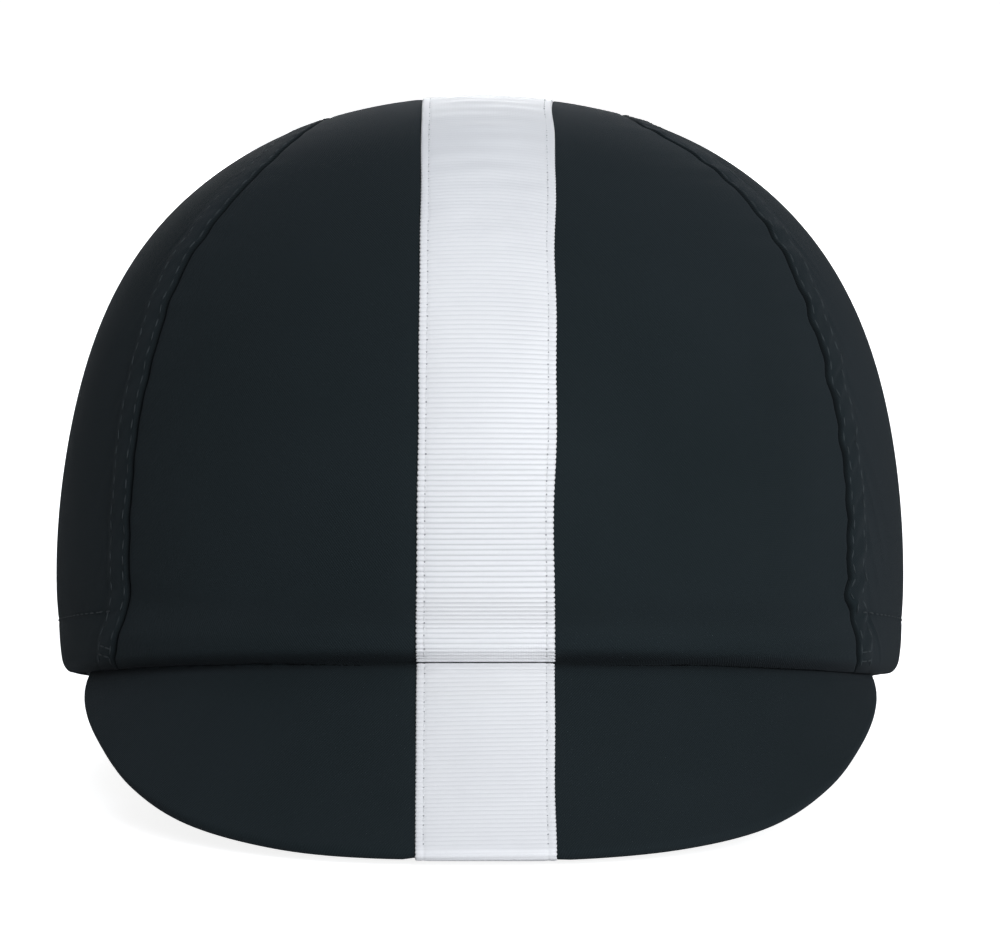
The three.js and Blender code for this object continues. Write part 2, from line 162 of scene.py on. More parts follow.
# Square to the form over the dome, and level all round below its widest level
def formNormal(across, along):
    rightward = formPoint(across + probe, along) - formPoint(across - probe, along)
    backward = formPoint(across, along + probe) - formPoint(across, along - probe)
    normal = np.cross(rightward, backward)
    normal[..., 2] *= np.hypot(across, along) <= widestRadius
    return normal / np.linalg.norm(normal, axis=-1, keepdims=True)


def turnFromFront(across, along):
    return np.abs(np.arctan2(across, -along))


def levelOf(across, along):
    return (1 - np.hypot(across, along)) / patternPerHeight


# The front hem bulges over the root of the peak, and is rolled just above its edge
def frontBulge(turn, level):
    bulge = crown["frontFlare"] * np.maximum(np.cos(turn), 0)
    return bulge * fadeOut(level, crown["flareHeight"] / 3, crown["flareHeight"])


def hemRoll(turn, level):
    swell = smoothStep(level, 0, 2) * fadeOut(level, 3, 16)
    return cloth["hemRoll"] * swell * fadeOut(turn, *cloth["rollTurns"])


# How far the hem hangs below its form at a place in front
def hemDrop(across, along, level):
    turn = np.degrees(np.arctan2(across, -along))
    drop = fromTable(turn, cloth["hemDrop"])
    return drop * np.clip(1 - level / crown["flareHeight"], 0, 1) ** 2


# The lower edge of the hem is rounded in
def roundIn(turn, level, drop):
    reach = np.clip(1 - level / cloth["hemRoundHeight"], 0, 1)
    pressed = 1 - 0.6 * smoothStep(turn, *crown["pressedTurns"])
    depth = cloth["hemRoundDepth"] * pressed - np.maximum(drop - 0.6, 0) / math.tan(peak["droopAtRoot"])
    return depth * (1 - np.sqrt(1 - reach**2))


# The elastic's gathers stand beside the ribbon, which holds the cloth under it flat
def gathers(across, along):
    turn = turnFromFront(across, along)
    level = levelOf(across, along)
    fromMiddle = (math.pi - turn) * crown["backReach"]
    besideRibbon = smoothStep(fromMiddle, ribbon["width"] / 2 + ribbon["offset"], ribbon["width"])
    fade = smoothStep(turn, *cloth["gatherTurns"]) * fadeOut(level, 0, cloth["gatherHeight"]) * besideRibbon
    uneven = 0.9 * np.sin(9 * turn + 1.5 * np.sign(across)) + 0.5 * np.sin(23 * turn)
    wave = np.cos(cloth["gathersPerTurn"] * turn + uneven)
    return cloth["gatherDepth"] * fade * (wave - 0.35 * (1 - wave**2))


# Broad soft waves, stronger at the sides and the back than over the ribbon
def softWaves(across, along):
    wave = np.sin(9.1 * across + 5.3 * along + 0.6) * np.sin(4.7 * across - 8.3 * along + 2.1)
    wave = wave + 0.5 * np.sin(15.7 * across - 3.1 * along + 4.0) * np.cos(11.9 * along + 1.3)
    edge = smoothStep(np.abs(across), 0.08, 0.5)
    fromHem = smoothStep(levelOf(across, along), 2, 16)
    return cloth["waveDepth"] * wave * (0.3 + 0.7 * edge) * fromHem


# The cloth sinks under the ribbon, which lies almost flush with it
def ribbonBed(x):
    fromEdge = np.abs(x - ribbon["offset"]) - ribbon["width"] / 2
    return -ribbon["bedDepth"] * fadeOut(fromEdge, *ribbon["bedEdge"])


# The ribbon strays to the right towards the top of the crown
def crownDrift(along):
    return ribbon["drift"] * smoothStep((1 + along) / patternPerHeight, *ribbon["driftLevels"])


# The hem is turned up, so it is thicker, and its inner edge slopes as the root of the peak does
def wallAt(level):
    above = smoothStep(level, cloth["turnedHemHeight"] * 0.97, cloth["turnedHemHeight"] * 1.1)
    return lerp(cloth["turnedHemWall"], cloth["wall"], above)


def hemBevel(turn, level):
    fade = fadeOut(turn - peak["spread"], math.radians(3), math.radians(15))
    rise = (cloth["turnedHemWall"] - cloth["hemRoundDepth"]) * math.tan(peak["droopAtRoot"])
    return rise * fade * np.maximum(1 - level / cloth["turnedHemHeight"], 0)


# The back of the hem is pressed flat where the cap rests
def settle(points, turn, level):
    low = np.clip(1 - level / crown["widestHeight"], 0, 1) ** 2
    backEdge = formPoint(np.array(0.0), np.array(1.0))[1]
    pressed = smoothStep(turn, *crown["pressedTurns"])
    points = points.copy()
    points[..., 2] -= math.tan(crown["lean"]) * (backEdge - points[..., 1]) * pressed * low
    return points


# What moves the outer and the inner face of the cloth alike
def swellOf(across, along, turn, level):
    return frontBulge(turn, level) + hemRoll(turn, level) + gathers(across, along) + softWaves(across, along)


# The outer face of the cloth
def clothPoint(across, along, lift=0.0):
    turn = turnFromFront(across, along)
    level = levelOf(across, along)
    drop = hemDrop(across, along, level)
    out = swellOf(across, along, turn, level) - roundIn(turn, level, drop)
    points = formPoint(across, along)
    out = out + ribbonBed(points[..., 0] - crownDrift(along)) + lift
    points = points + formNormal(across, along) * np.expand_dims(out, -1)
    points[..., 2] -= drop
    return settle(points, turn, level)


# The inner face, with the edge of the hem rounded there too
def liningPoint(across, along, lift):
    turn = turnFromFront(across, along)
    level = levelOf(across, along)
    innerRound = 0.5 * (1 - np.sqrt(1 - np.clip(1 - level / 1.2, 0, 1) ** 2))
    out = swellOf(across, along, turn, level) - wallAt(level) + innerRound + lift
    points = formPoint(across, along)
    out = out + ribbonBed(points[..., 0] - crownDrift(along))
    points = points + formNormal(across, along) * np.expand_dims(out, -1)
    points[..., 2] += hemBevel(turn, level)
    return settle(points, turn, level)


# From the cap's own frame in millimetres to the resting cap in metres
def standing(points):
    cosine = math.cos(crown["lean"])
    sine = math.sin(crown["lean"])
    x, y, z = points[..., 0], points[..., 1], points[..., 2]
    leaned = np.stack([x, y * cosine + z * sine, z * cosine - y * sine], axis=-1)
    return (leaned + np.array(crown["place"])) / 1000


# A seam line as a smooth curve through its rows, read by the length travelled along it
def seamLine(rows, wobble):
    corners = np.array(rows)
    corners[0] /= np.hypot(*corners[0])
    corners[-1] /= np.hypot(*corners[-1])
    ends = np.vstack([2 * corners[0] - corners[1], corners, 2 * corners[-1] - corners[-2]])
    share = np.linspace(0, 1, 120, endpoint=False)[:, None]
    track = []
    for k in range(len(corners) - 1):
        a, b, c, d = ends[k : k + 4]
        before, between, after = (math.sqrt(np.hypot(*step)) for step in (b - a, c - b, d - c))
        out = ((b - a) / before - (c - a) / (before + between) + (c - b) / between) * between
        back = ((c - b) / between - (d - b) / (between + after) + (d - c) / after) * between
        square = (3 * (c - b) - 2 * out - back) * share**2
        track.append(b + out * share + square + (2 * (b - c) + out + back) * share**3)
    track = np.vstack([*track, corners[-1:]])
    travelled = np.concatenate([[0], np.cumsum(np.hypot(*np.diff(track, axis=0).T))])
    lines = {"track": track, "heading": np.gradient(track, travelled, axis=0)}
    return {**lines, "travelled": travelled, "length": travelled[-1], "wobble": wobble}


# A place beside a seam: shift is in millimetres over the cloth, to the right of the way from front to back
def besideSeam(seam, travelled, shift):
    columns = (*seam["track"].T, *seam["heading"].T)
    across, along, headAcross, headAlong = [np.interp(travelled, seam["travelled"], each) for each in columns]
    size = np.hypot(headAcross, headAlong)
    rightAcross, rightAlong = headAlong / size, -headAcross / size
    ahead = formPoint(across + rightAcross * probe, along + rightAlong * probe) - formPoint(across, along)
    scale = np.linalg.norm(ahead, axis=-1) / probe
    moved = (shift + seam["wobble"](travelled / patternPerHeight)) / scale
    across = across + rightAcross * moved
    along = along + rightAlong * moved
    radius = np.hypot(across, along)
    atHem = (travelled < 1e-9) | (travelled > seam["length"] - 1e-9) | (radius > 1)
    fit = np.where(atHem, radius, 1)
    return across / fit, along / fit


seamLook = {
    "ridgeWidth": 7.0,  # the folded edge of the side panel, held down by two rows of stitches
    "ridgeHeight": 0.5,
    "ridgeOverTop": 0.3,  # share of that height left over the top of the crown
    "grooveDepth": 0.8,  # how deep the seam itself lies
    "shade": 0.8,  # how dark the painted shade is down in it
    "shadeWidth": 0.34,
    "ridgeColumns": (0, 0.15, 0.3, 0.6, 1.0, 1.4, 2.0, 2.8, 3.7, 4.6, 5.3, 5.9, 6.4, 6.8, 7.4, 8.2),
    "stitchAt": (1.1, 6.1),
    "stitchPull": 0.16,  # how far the stitches sink the cloth
    "hemStitchPull": 0.14,
    "overlap": 0.12,  # how far the middle panel runs in under each folded edge
    "puckerDepth": {"left": 0.16, "right": 0.34},
    "puckerSteps": (9.3, 5.7),  # from one pucker to the next, in two rows laid over each other
    "crumple": {"left": 0.09, "right": 0.22},  # slanting creases on the folded edge
    "crumpleSteps": (5.3, 3.4),
    "crumpleSlant": 0.9,
    # pinched fold low on the right seam: height above the hem, half width and depth of its lip and its crease
    "pinch": ((11.6, 1.9, 1.0), (8.9, 0.75, 1.1)),
    # how far the right seam strays by its height up from the hem, in millimetres
    "rightStray": (
        (0, 1.6), (1.2, 0.6), (2.8, -0.6), (6, -0.8), (8.6, -1), (10.2, -0.95), (12.2, -1.95), (15, -0.8),
        (16.5, -0.55), (18, -1.2), (19.5, -1.6), (22.3, -0.6), (24.5, -0.5), (28, -1), (33, 0.2), (38, -0.6),
        (44, 0.4), (50, -0.4), (57, 0.3), (66, -0.3), (78, 0.2), (92, 0),
    ),
    "leftStray": ((0, -3.2), (1.2, -2), (2.6, -0.7), (4.5, -0.2), (8, 0.25), (13, 0.2), (20, -0.1), (30, 0)),
}


def rightWobble(fromHem):
    return fromTable(fromHem, seamLook["rightStray"])


def leftWobble(fromHem):
    fade = smoothStep(fromHem, 20, 32) * fadeOut(fromHem, 90, 130)
    stray = fromTable(fromHem, seamLook["leftStray"])
    return stray + fade * (0.16 * np.sin(fromHem / 4.1) + 0.12 * np.sin(fromHem / 1.9 + 1))


# Puckers run out from a seam into the cloth on both sides, deepest at the seam
def puckers(side, fromHem, away):
    depth = seamLook["puckerDepth"][side]
    broad, fine = (fromHem * 2 * math.pi / step for step in seamLook["puckerSteps"])
    wave = np.sin(broad + 1.7 * np.sin(fromHem / 17)) + 0.6 * np.sin(fine + 2.3 * np.sin(fromHem / 23) + 1)
    low = 1 - 0.65 * smoothStep(fromHem, 60, 120)
    return depth * low * wave * np.exp(-away / 7) * smoothStep(fromHem, 1, 7)


def pinch(fromHem, away):
    lip, crease = (depth * hump(fromHem, height, width) for height, width, depth in seamLook["pinch"])
    return (lip - crease) * np.exp(-away / 6) * smoothStep(away, 0.2, 1.5)


# The folded edge, sunk at its two rows of stitches and in the seam itself
def ridge(fromHem, away):
    edge = 1 - hump(away, 0, 0.3)
    band = seamLook["ridgeHeight"] * lerp(1, seamLook["ridgeOverTop"], smoothStep(fromHem, 60, 105))
    band = band * fadeOut(away - seamLook["ridgeWidth"], -1.1, 1)
    sunk = sum(seamLook["stitchPull"] * hump(away, row, 0.45) for row in seamLook["stitchAt"])
    return band * edge - sunk - seamLook["grooveDepth"] * hump(away, 0, 0.2)


seams = {"left": seamLine(leftSeamRows, leftWobble), "right": seamLine(rightSeamRows, rightWobble)}

# Rows of the cloth: heights above the hem in its lowest band, and even steps over the dome
clothRows = {
    "hemLevels": (
        0, 0.06, 0.2, 0.45, 0.8, 1.2, 1.7, 2.3, 3.0, 3.8, 4.7, 5.6, 6.5, 7.4, 8.3, 9.0, 9.5, 10.0, 10.5, 11.1,
        12, 13.2, 14.6, 16.2, 18, 20, 22,
    ),
    "overDome": 216,
}
hemRows = np.array(clothRows["hemLevels"]) * patternPerHeight


def travelledAlong(seam):
    whole = seam["length"]
    dome = np.linspace(hemRows[-1], whole - hemRows[-1], clothRows["overDome"] + 1)
    return np.concatenate([hemRows[:-1], dome, whole - hemRows[-2::-1]])


def fromHemOf(travelled, seam):
    return np.minimum(travelled, seam["length"] - travelled) / patternPerHeight


# A closed piece from one grid: its outer sheet, its inner sheet if it has one, and the edges between them.
# The mark is a value at each point for the material: how plain the ribs and their painted groove shade are,
# or the painted shade in a seam or the crease
def gridPiece(name, outer, inner, flat, material, node, mark, mergeWithin=1e-6):
    rows, columns = outer.shape[0] - 1, outer.shape[1] - 1
    bm = bmesh.new()
    bmesh.ops.create_grid(bm, x_segments=columns, y_segments=rows, size=0.5)
    if inner is not outer:
        bmesh.ops.solidify(bm, geom=bm.faces[:], thickness=1.0)
    mesh = bpy.data.meshes.new(name)
    bm.to_mesh(mesh)
    unit = np.empty(len(mesh.vertices) * 3)
    mesh.vertices.foreach_get("co", unit)
    unit = unit.reshape(-1, 3)
    column = np.rint((unit[:, 0] + 0.5) * columns).astype(int)
    row = np.rint((unit[:, 1] + 0.5) * rows).astype(int)
    under = np.abs(unit[:, 2]) > 0.5
    points = standing(np.where(under[:, None], inner[row, column], outer[row, column]))
    points[:, 2] = np.maximum(points[:, 2], 0)
    mesh.vertices.foreach_set("co", points.ravel())
    corner = np.empty(len(mesh.loops), dtype=int)
    mesh.loops.foreach_get("vertex_index", corner)
    layer = mesh.uv_layers.new(name="flat")
    layer.data.foreach_set("uv", flat[row[corner], column[corner]].ravel())
    marks = mesh.attributes.new("mark", "FLOAT", "POINT")
    marks.data.foreach_set("value", mark[row, column])
    bm.clear()
    bm.from_mesh(mesh)
    bmesh.ops.remove_doubles(bm, verts=bm.verts[:], dist=mergeWithin)
    openEdges = [edge for edge in bm.edges if edge.is_boundary]
    if openEdges:
        bmesh.ops.holes_fill(bm, edges=openEdges, sides=0)
    bmesh.ops.recalc_face_normals(bm, faces=bm.faces[:])
    addPiece(name, bm, mesh, material, node)


# Hands a finished bmesh to the scene as a piece of the cap
def addPiece(name, bm, mesh, material, node=None):
    bm.to_mesh(mesh)
    bm.free()
    mesh.polygons.foreach_set("use_smooth", [True] * len(mesh.polygons))
    mesh.materials.append(material)
    piece = bpy.data.objects.new(name, mesh)
    bpy.context.scene.collection.objects.link(piece)
    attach(piece, "root")
    if node:
        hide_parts(node)
    print(name, "built:", len(mesh.polygons), "faces")


# Flat coordinates in millimetres: along the rows from one column, and along the columns from one row
def flatOf(points, middle):
    u = travelledInRows(points)
    u = u - u[:, middle : middle + 1]
    v = travelledOver(points[:, middle])
    return np.stack([u, np.broadcast_to(v[:, None], u.shape)], axis=-1)


# Middle panel: each row runs from seam to seam, bowed as the hem is near the hem and straighter over the top
def centrePanelPlaces(share):
    under = seamLook["overlap"]
    along = {side: travelledAlong(seam) for side, seam in seams.items()}
    left = np.stack(besideSeam(seams["left"], along["left"], -under), axis=-1)
    right = np.stack(besideSeam(seams["right"], along["right"], under), axis=-1)
    place = lerp(left[:, None], right[:, None], share[None, :, None])
    travelled = (along["left"] + along["right"]) / 2
    whole = (seams["left"]["length"] + seams["right"]["length"]) / 2
    for end, away in ((0, travelled), (-1, whole - travelled)):
        turns = [math.atan2(seamEnd[end][1], seamEnd[end][0]) for seamEnd in (left, right)]
        turn = lerp(turns[0], turns[1], share)
        bow = np.stack([np.cos(turn), np.sin(turn)], axis=-1) - lerp(left[end], right[end], share[:, None])
        place = place + bow[None] * np.maximum(1 - away, 0)[:, None, None]
    return place[..., 0], place[..., 1]


# Shade down in a seam, and in the crease between the hem and the peak
def seamShade(away):
    return seamLook["shade"] * hump(away, 0, seamLook["shadeWidth"])


def creaseShade(turn, level):
    inFront = fadeOut(turn, *cloth["creaseTurns"])
    return cloth["creaseShade"] * inFront * fadeOut(level, 0, cloth["creaseHeight"])


# Relief grows from a quarter of itself at the hem to the whole of it at that height
def calmedAtHem(lift, level, height):
    return lift * (0.25 + 0.75 * smoothStep(level, 0, height))


def buildCentrePanel():
    step = np.linspace(0, 1, cloth["centreColumns"] + 1)
    across, along = centrePanelPlaces(step - cloth["centreBunching"] * np.sin(2 * math.pi * step))
    level = levelOf(across, along)
    fromLeft = travelledInRows(formPoint(across, along))
    fromSeam = {"left": fromLeft, "right": fromLeft[:, -1:] - fromLeft}
    relief = 0
    shade = creaseShade(turnFromFront(across, along), level)
    for side, away in fromSeam.items():
        fromHem = fromHemOf(travelledAlong(seams[side]), seams[side])[:, None]
        relief = relief + puckers(side, fromHem, away) * 0.7 - seamLook["grooveDepth"] * np.exp(-away / 0.5)
        shade = np.maximum(shade, seamShade(away))
    lift = calmedAtHem(relief, level, 4)
    outer = clothPoint(across, along, lift)
    inner = liningPoint(across, along, lift * cloth["reliefInside"]["centre"])
    flat = flatOf(outer, cloth["centreColumns"] // 2)
    gridPiece("centrePanel", outer, inner, flat, clothTwill, "centre_panel", shade)


# Side panel: each row runs over the folded edge, then fans out to the hem and down it
def sidePlaces(side):
    seam, sign = seams[side], outwards[side]
    travelled = travelledAlong(seam)
    shifts = np.array(seamLook["ridgeColumns"])
    ridged = besideSeam(seam, travelled[:, None], sign * shifts[None, :])
    startAcross, startAlong = ridged[0][:, -1:], ridged[1][:, -1:]
    startRadius = np.hypot(startAcross, startAlong)
    startTurn = np.arctan2(np.abs(startAcross), -startAlong)
    hemTurn = lerp(startTurn[0], startTurn[-1], travelled[:, None] / seam["length"])
    span = 1 - startRadius
    squeeze = np.minimum(1, span / (2 * hemRows[-1]))
    body = np.linspace(0, 1, cloth["sideColumns"] + 1)[None, 1:]
    bodyRadius = lerp(startRadius, 1 - hemRows[-1] * squeeze, body)
    hemRadius = 1 - hemRows[-2::-1][None, :] * squeeze
    radius = np.concatenate([bodyRadius, hemRadius], axis=1)
    share = np.where(span > 1e-9, (radius - startRadius) / np.maximum(span, 1e-9), 1)
    turn = lerp(startTurn, hemTurn, share)
    across = np.concatenate([ridged[0], sign * radius * np.sin(turn)], axis=1)
    along = np.concatenate([ridged[1], -radius * np.cos(turn)], axis=1)
    return travelled, across, along


# Slanting creases where the two rows of stitches draw the folded edge together
def crumples(side, fromHem, away):
    slant = fromHem - outwards[side] * seamLook["crumpleSlant"] * away
    broad, fine = (slant * 2 * math.pi / step for step in seamLook["crumpleSteps"])
    wave = np.sin(broad + 1.9 * np.sin(fromHem / 7.3)) + 0.5 * np.sin(fine)
    band = smoothStep(away, 0.2, 1.6) * fadeOut(away, 5.2, 7.8)
    low = 1 - 0.7 * smoothStep(fromHem, 50, 110)
    return seamLook["crumple"][side] * wave * band * low * smoothStep(fromHem, 2, 6)


def sideRelief(side, fromHem, away):
    relief = puckers(side, fromHem, away) + ridge(fromHem, away) + crumples(side, fromHem, away)
    if side == "right":
        relief = relief + pinch(fromHem, away)
    return relief


# The line of stitches that holds the turned hem
def hemStitchGroove(level):
    return -seamLook["hemStitchPull"] * hump(level, cloth["turnedHemHeight"], 0.5)


def buildSidePanel(side):
    travelled, across, along = sidePlaces(side)
    away = travelledInRows(formPoint(across, along))
    fromHem = fromHemOf(travelled, seams[side])[:, None]
    level = levelOf(across, along)
    lift = calmedAtHem(sideRelief(side, fromHem, away) + hemStitchGroove(level), level, 3)
    outer = clothPoint(across, along, lift)
    inner = liningPoint(across, along, lift * cloth["reliefInside"]["side"])
    shade = np.maximum(seamShade(away), creaseShade(turnFromFront(across, along), level))
    name, node = "sidePanel" + side.capitalize(), "side_panel_" + side
    gridPiece(name, outer, inner, flatOf(outer, 0), clothTwill, node, shade, 2e-5)


ribbon = {
    "width": 25.0,
    "offset": 0.9,
    "thickness": 0.5,
    "lift": 0.05,  # how far its underside lies off the cloth
    "bedDepth": 0.33,  # how far the cloth sinks under it
    "bedEdge": (-0.1, 0.75),  # where that fades out, from the edge of the ribbon
    "drift": 0.45,  # how far it strays to the right towards the top of the crown
    "driftLevels": (12, 80),
    "ribPitch": 0.976,
    "ribDepth": 0.21,
    # how plain the ribs and their painted groove shade are, by the distance from the top of the crown
    "ribStrength": (
        (0, 0.07), (38, 0.08), (50, 0.19), (75, 0.28), (88, 0.42), (100, 0.58), (115, 0.95), (126, 1.15),
        (142, 1.0),
    ),
    "peakRibStrength": 0.27,
    "topAt": 0.43,  # share of its length that lies in front of the top of the crown
    "wrinkleSpan": (45, 90),  # how far from the top its soft wrinkles reach
    "endInset": 0.12,  # how far its ends lie from the edge of the hem
    "ribPhases": (0, 0.1, 0.28, 0.5, 0.72, 0.9),  # rows of the mesh within one rib
    "scallop": 0.14,  # how far each rib swells the edge
    "edgeWave": 0.22,
    "stitchInset": 1.45,
    "stitchPull": 0.1,
    "columns": (
        0, 0.012, 0.035, 0.05, 0.058, 0.066, 0.085, 0.2, 0.35, 0.5, 0.65, 0.8, 0.915, 0.934, 0.942, 0.95,
        0.965, 0.988, 1,
    ),
}
ribbonShares = np.array(ribbon["columns"])
stitchInset = ribbon["stitchInset"] / ribbon["width"]
stitchShares = {"left": stitchInset, "right": 1 - stitchInset}


# Place on the pattern of a point of the crown ribbon, which keeps its width in millimetres
def ribbonPlace(reach, sideways):
    front = np.sign(reach)
    bowed = smoothStep(np.abs(reach), 0.3, widestRadius)
    across = np.zeros(np.broadcast(reach, sideways).shape)
    along = reach + across
    for attempt in range(6):
        here = clothPoint(across, along)[..., 0]
        ahead = clothPoint(across + probe, along)[..., 0]
        across = across + (sideways - here) * probe / (ahead - here)
        along = front * np.sqrt(np.maximum(reach**2 - bowed * across**2, 0))
    return across, along


# Steps along the pattern under the middle of the crown ribbon, and the length travelled to each
def crownRun():
    reach = np.linspace(-1, 1, 4001)
    return reach, travelledOver(clothPoint(*ribbonPlace(reach, ribbon["offset"])))


# Rows along a ribbon of that length, a few to each rib
def ribRows(length):
    ribs = np.arange(math.floor(length / ribbon["ribPitch"]))
    rows = ((ribs[:, None] + np.array(ribbon["ribPhases"])[None, :]) * ribbon["ribPitch"]).ravel()
    return np.append(rows, length)


# Height of the ribs and of the grooves where the stitches pull the ribbon down
def ribRelief(run, share, strength):
    phase = run / ribbon["ribPitch"]
    rib = np.abs(np.sin(math.pi * phase)) ** 0.85 - 1
    uneven = 1 + 0.25 * np.sin(2.4 * np.floor(phase) + 9 * share) * np.sin(1.1 * np.floor(phase))
    rib = rib * uneven * strength
    pulled = sum(hump(share, at, 0.009) for at in stitchShares.values())
    edge = hump(np.minimum(share, 1 - share), 0, 0.006)
    return ribbon["ribDepth"] * rib - ribbon["stitchPull"] * pulled - 0.12 * edge


# Distance of a point of the ribbon from the middle of the cap
def ribbonSideways(run, share, wave):
    edge = np.sign(share - 0.5) * (2 * share - 1) ** 4
    scallop = ribbon["scallop"] * (np.abs(np.sin(math.pi * run / ribbon["ribPitch"])) - 0.6)
    swing = wave * (np.sin(run / 9.1 + 2 * share) + 0.6 * np.sin(run / 4.3 + 4 * share))
    return ribbon["offset"] + ribbon["width"] * (share - 0.5) + edge * (scallop + 0.5 * swing) + 0.25 * swing


def crownSideways(run, share):
    return ribbonSideways(run, share, ribbon["edgeWave"]) + crownDrift(run * patternPerHeight - 1)


def peakSideways(run, share):
    return ribbonSideways(run, share, ribbon["edgeWave"] * 0.6)


# The ribs are pulled flatter over the top of the crown
def ribStrength(run, length):
    return fromTable(np.abs(run - ribbon["topAt"] * length), ribbon["ribStrength"])


# Ribs lie a little askew, by an angle that changes slowly along the ribbon
def ribSkew(run, share):
    askew = (share - 0.5) * (0.35 * np.sin(run / 31 + 0.8) - 0.25)
    return askew + 0.25 * (share - 0.5) ** 2 * np.sin(run / 23)


# Soft wrinkles over the top of the crown
def topWrinkles(run, share, length):
    broad = np.sin(run / 4.1 + 5 * share) * np.sin(run / 9.7 + 3 * share + 1)
    fine = np.sin(run / 1.15 - 4 * share) * np.sin(run / 6.1 + 2.5 * share + 2)
    fade = fadeOut(np.abs(run - ribbon["topAt"] * length), *ribbon["wrinkleSpan"])
    return (0.22 * broad + 0.13 * fine) * fade * (4 * share * (1 - share))


def buildCrownRibbon():
    reach, run = crownRun()
    rows = ribRows(run[-1] - 2 * ribbon["endInset"]) + ribbon["endInset"]
    row, share = np.meshgrid(rows, ribbonShares, indexing="ij")
    fromEnd = row - ribbon["endInset"]
    skew = ribSkew(row, share) * smoothStep(fromEnd, 0, 6)
    across, along = ribbonPlace(np.interp(row + skew, run, reach), crownSideways(fromEnd, share))
    strength = ribStrength(row, run[-1])
    relief = ribRelief(fromEnd, share, strength) + topWrinkles(row, share, run[-1])
    outer = clothPoint(across, along, ribbon["lift"] + ribbon["thickness"] + relief)
    inner = clothPoint(across, along, np.full(row.shape, ribbon["lift"]))
    flat = np.stack([share * ribbon["width"], fromEnd], axis=-1)
    gridPiece("crownRibbon", outer, inner, flat, ribbonWeave, "crown_ribbon", strength)


peak = {
    "length": 44.0,
    "thickness": 2.4,
    "spread": math.radians(70),
    "droopAtRoot": math.radians(56),
    "droopAtEdge": math.radians(50),
    "rootHeight": 12.0,
    "tuckedFrom": (math.radians(62), math.radians(69)),  # its ends are drawn in behind the hem
    "tuckedBy": (1.2, 1.6),  # inwards and upwards
    "creaseDepth": 0.6,  # how far its root is drawn in under the hem
    "creaseLength": 3.5,
    "ribbonStart": -0.1,  # where its ribbon starts, down from the crease
    "ribbonReturn": 8.0,  # how far the ribbon runs back under it
    "rootRound": 0.6,
    "columns": 140,
    "faceRows": 43,
    "edgeRows": 12,
    # length round the hem: share of the spread, share of the full length
    "outline": (
        (0, 1), (0.143, 0.993), (0.286, 0.945), (0.429, 0.83), (0.571, 0.636), (0.714, 0.402), (0.857, 0.186),
        (0.929, 0.08), (1, 0.03),
    ),
}


# Smooth curve through the rows of the peak's outline
def outlineLength(turn):
    at, value = np.array(peak["outline"]).T
    slope = np.empty(len(at))
    slope[0] = 0
    slope[1:-1] = (value[2:] - value[:-2]) / (at[2:] - at[:-2])
    slope[-1] = (value[-1] - value[-2]) / (at[-1] - at[-2])
    where = np.clip(np.abs(turn) / peak["spread"], 0, 1)
    k = np.clip(np.searchsorted(at, where, side="right") - 1, 0, len(at) - 2)
    width = at[k + 1] - at[k]
    share = (where - at[k]) / width
    rest = 1 - share
    length = value[k] * (1 + 2 * share) * rest**2 + slope[k] * width * share * rest**2
    length = length + value[k + 1] * (3 - 2 * share) * share**2 - slope[k + 1] * width * share**2 * rest
    return peak["length"] * length


# Length of the upper face of the peak, before its edge turns down
def peakSlope(turn):
    return np.maximum(outlineLength(turn) - peak["thickness"] / 2, peak["thickness"] / 2)


def creaseAt(run):
    return peak["creaseDepth"] * fadeOut(run, 0, peak["creaseLength"])


# Upper face of the peak at a share of its slope: distance out, height and droop
def peakUpper(turn, share):
    slope = peakSlope(turn)
    first, change = peak["droopAtRoot"], peak["droopAtEdge"] - peak["droopAtRoot"]
    droop = first + change * np.clip(share, 0, 1)
    out = frontBulge(np.abs(turn), 0.0) - cloth["hemRoundDepth"]
    out = out + slope * (np.sin(droop) - math.sin(first)) / change
    height = -cloth["clearance"] / math.cos(first) + slope * (np.cos(droop) - math.cos(first)) / change
    tucked = smoothStep(np.abs(turn), *peak["tuckedFrom"])
    return out - peak["tuckedBy"][0] * tucked, height + peak["tuckedBy"][1] * tucked, droop


# A point at that distance out from the hem and at that height
def peakPoint(turn, out, height):
    across, along = np.sin(turn), -np.cos(turn)
    points = formPoint(across, along) + formNormal(across, along) * np.expand_dims(out, -1)
    points[..., 2] = height
    return points


# A place on the peak: part 0 to 1 down the upper face, 1 to 2 round the edge, then millimetres back under it
def peakPlace(turn, part, back, distance):
    out, height, droop = peakUpper(turn, part)
    nose = math.pi / 2 - droop - np.clip(part - 1, 0, 1) * math.pi
    centreOut = out - np.sin(droop) * peak["thickness"] / 2
    centreHeight = height - np.cos(droop) * peak["thickness"] / 2
    reach = peak["thickness"] / 2 + distance
    out = centreOut + np.cos(nose) * reach - np.cos(droop) * back
    height = centreHeight + np.sin(nose) * reach + np.sin(droop) * back
    return out, height


# A point on the peak at that distance from the middle of the cap, as its ribbon keeps its width
def peakBeside(sideways, part, back, lift):
    turn = sideways / crown["halfWidth"]
    for attempt in range(6):
        here = peakPoint(turn, *peakPlace(turn, part, back, lift))[..., 0]
        ahead = peakPoint(turn + probe, *peakPlace(turn + probe, part, back, lift))[..., 0]
        turn = turn + (sideways - here) * probe / (ahead - here)
    return peakPoint(turn, *peakPlace(turn, part, back, lift))


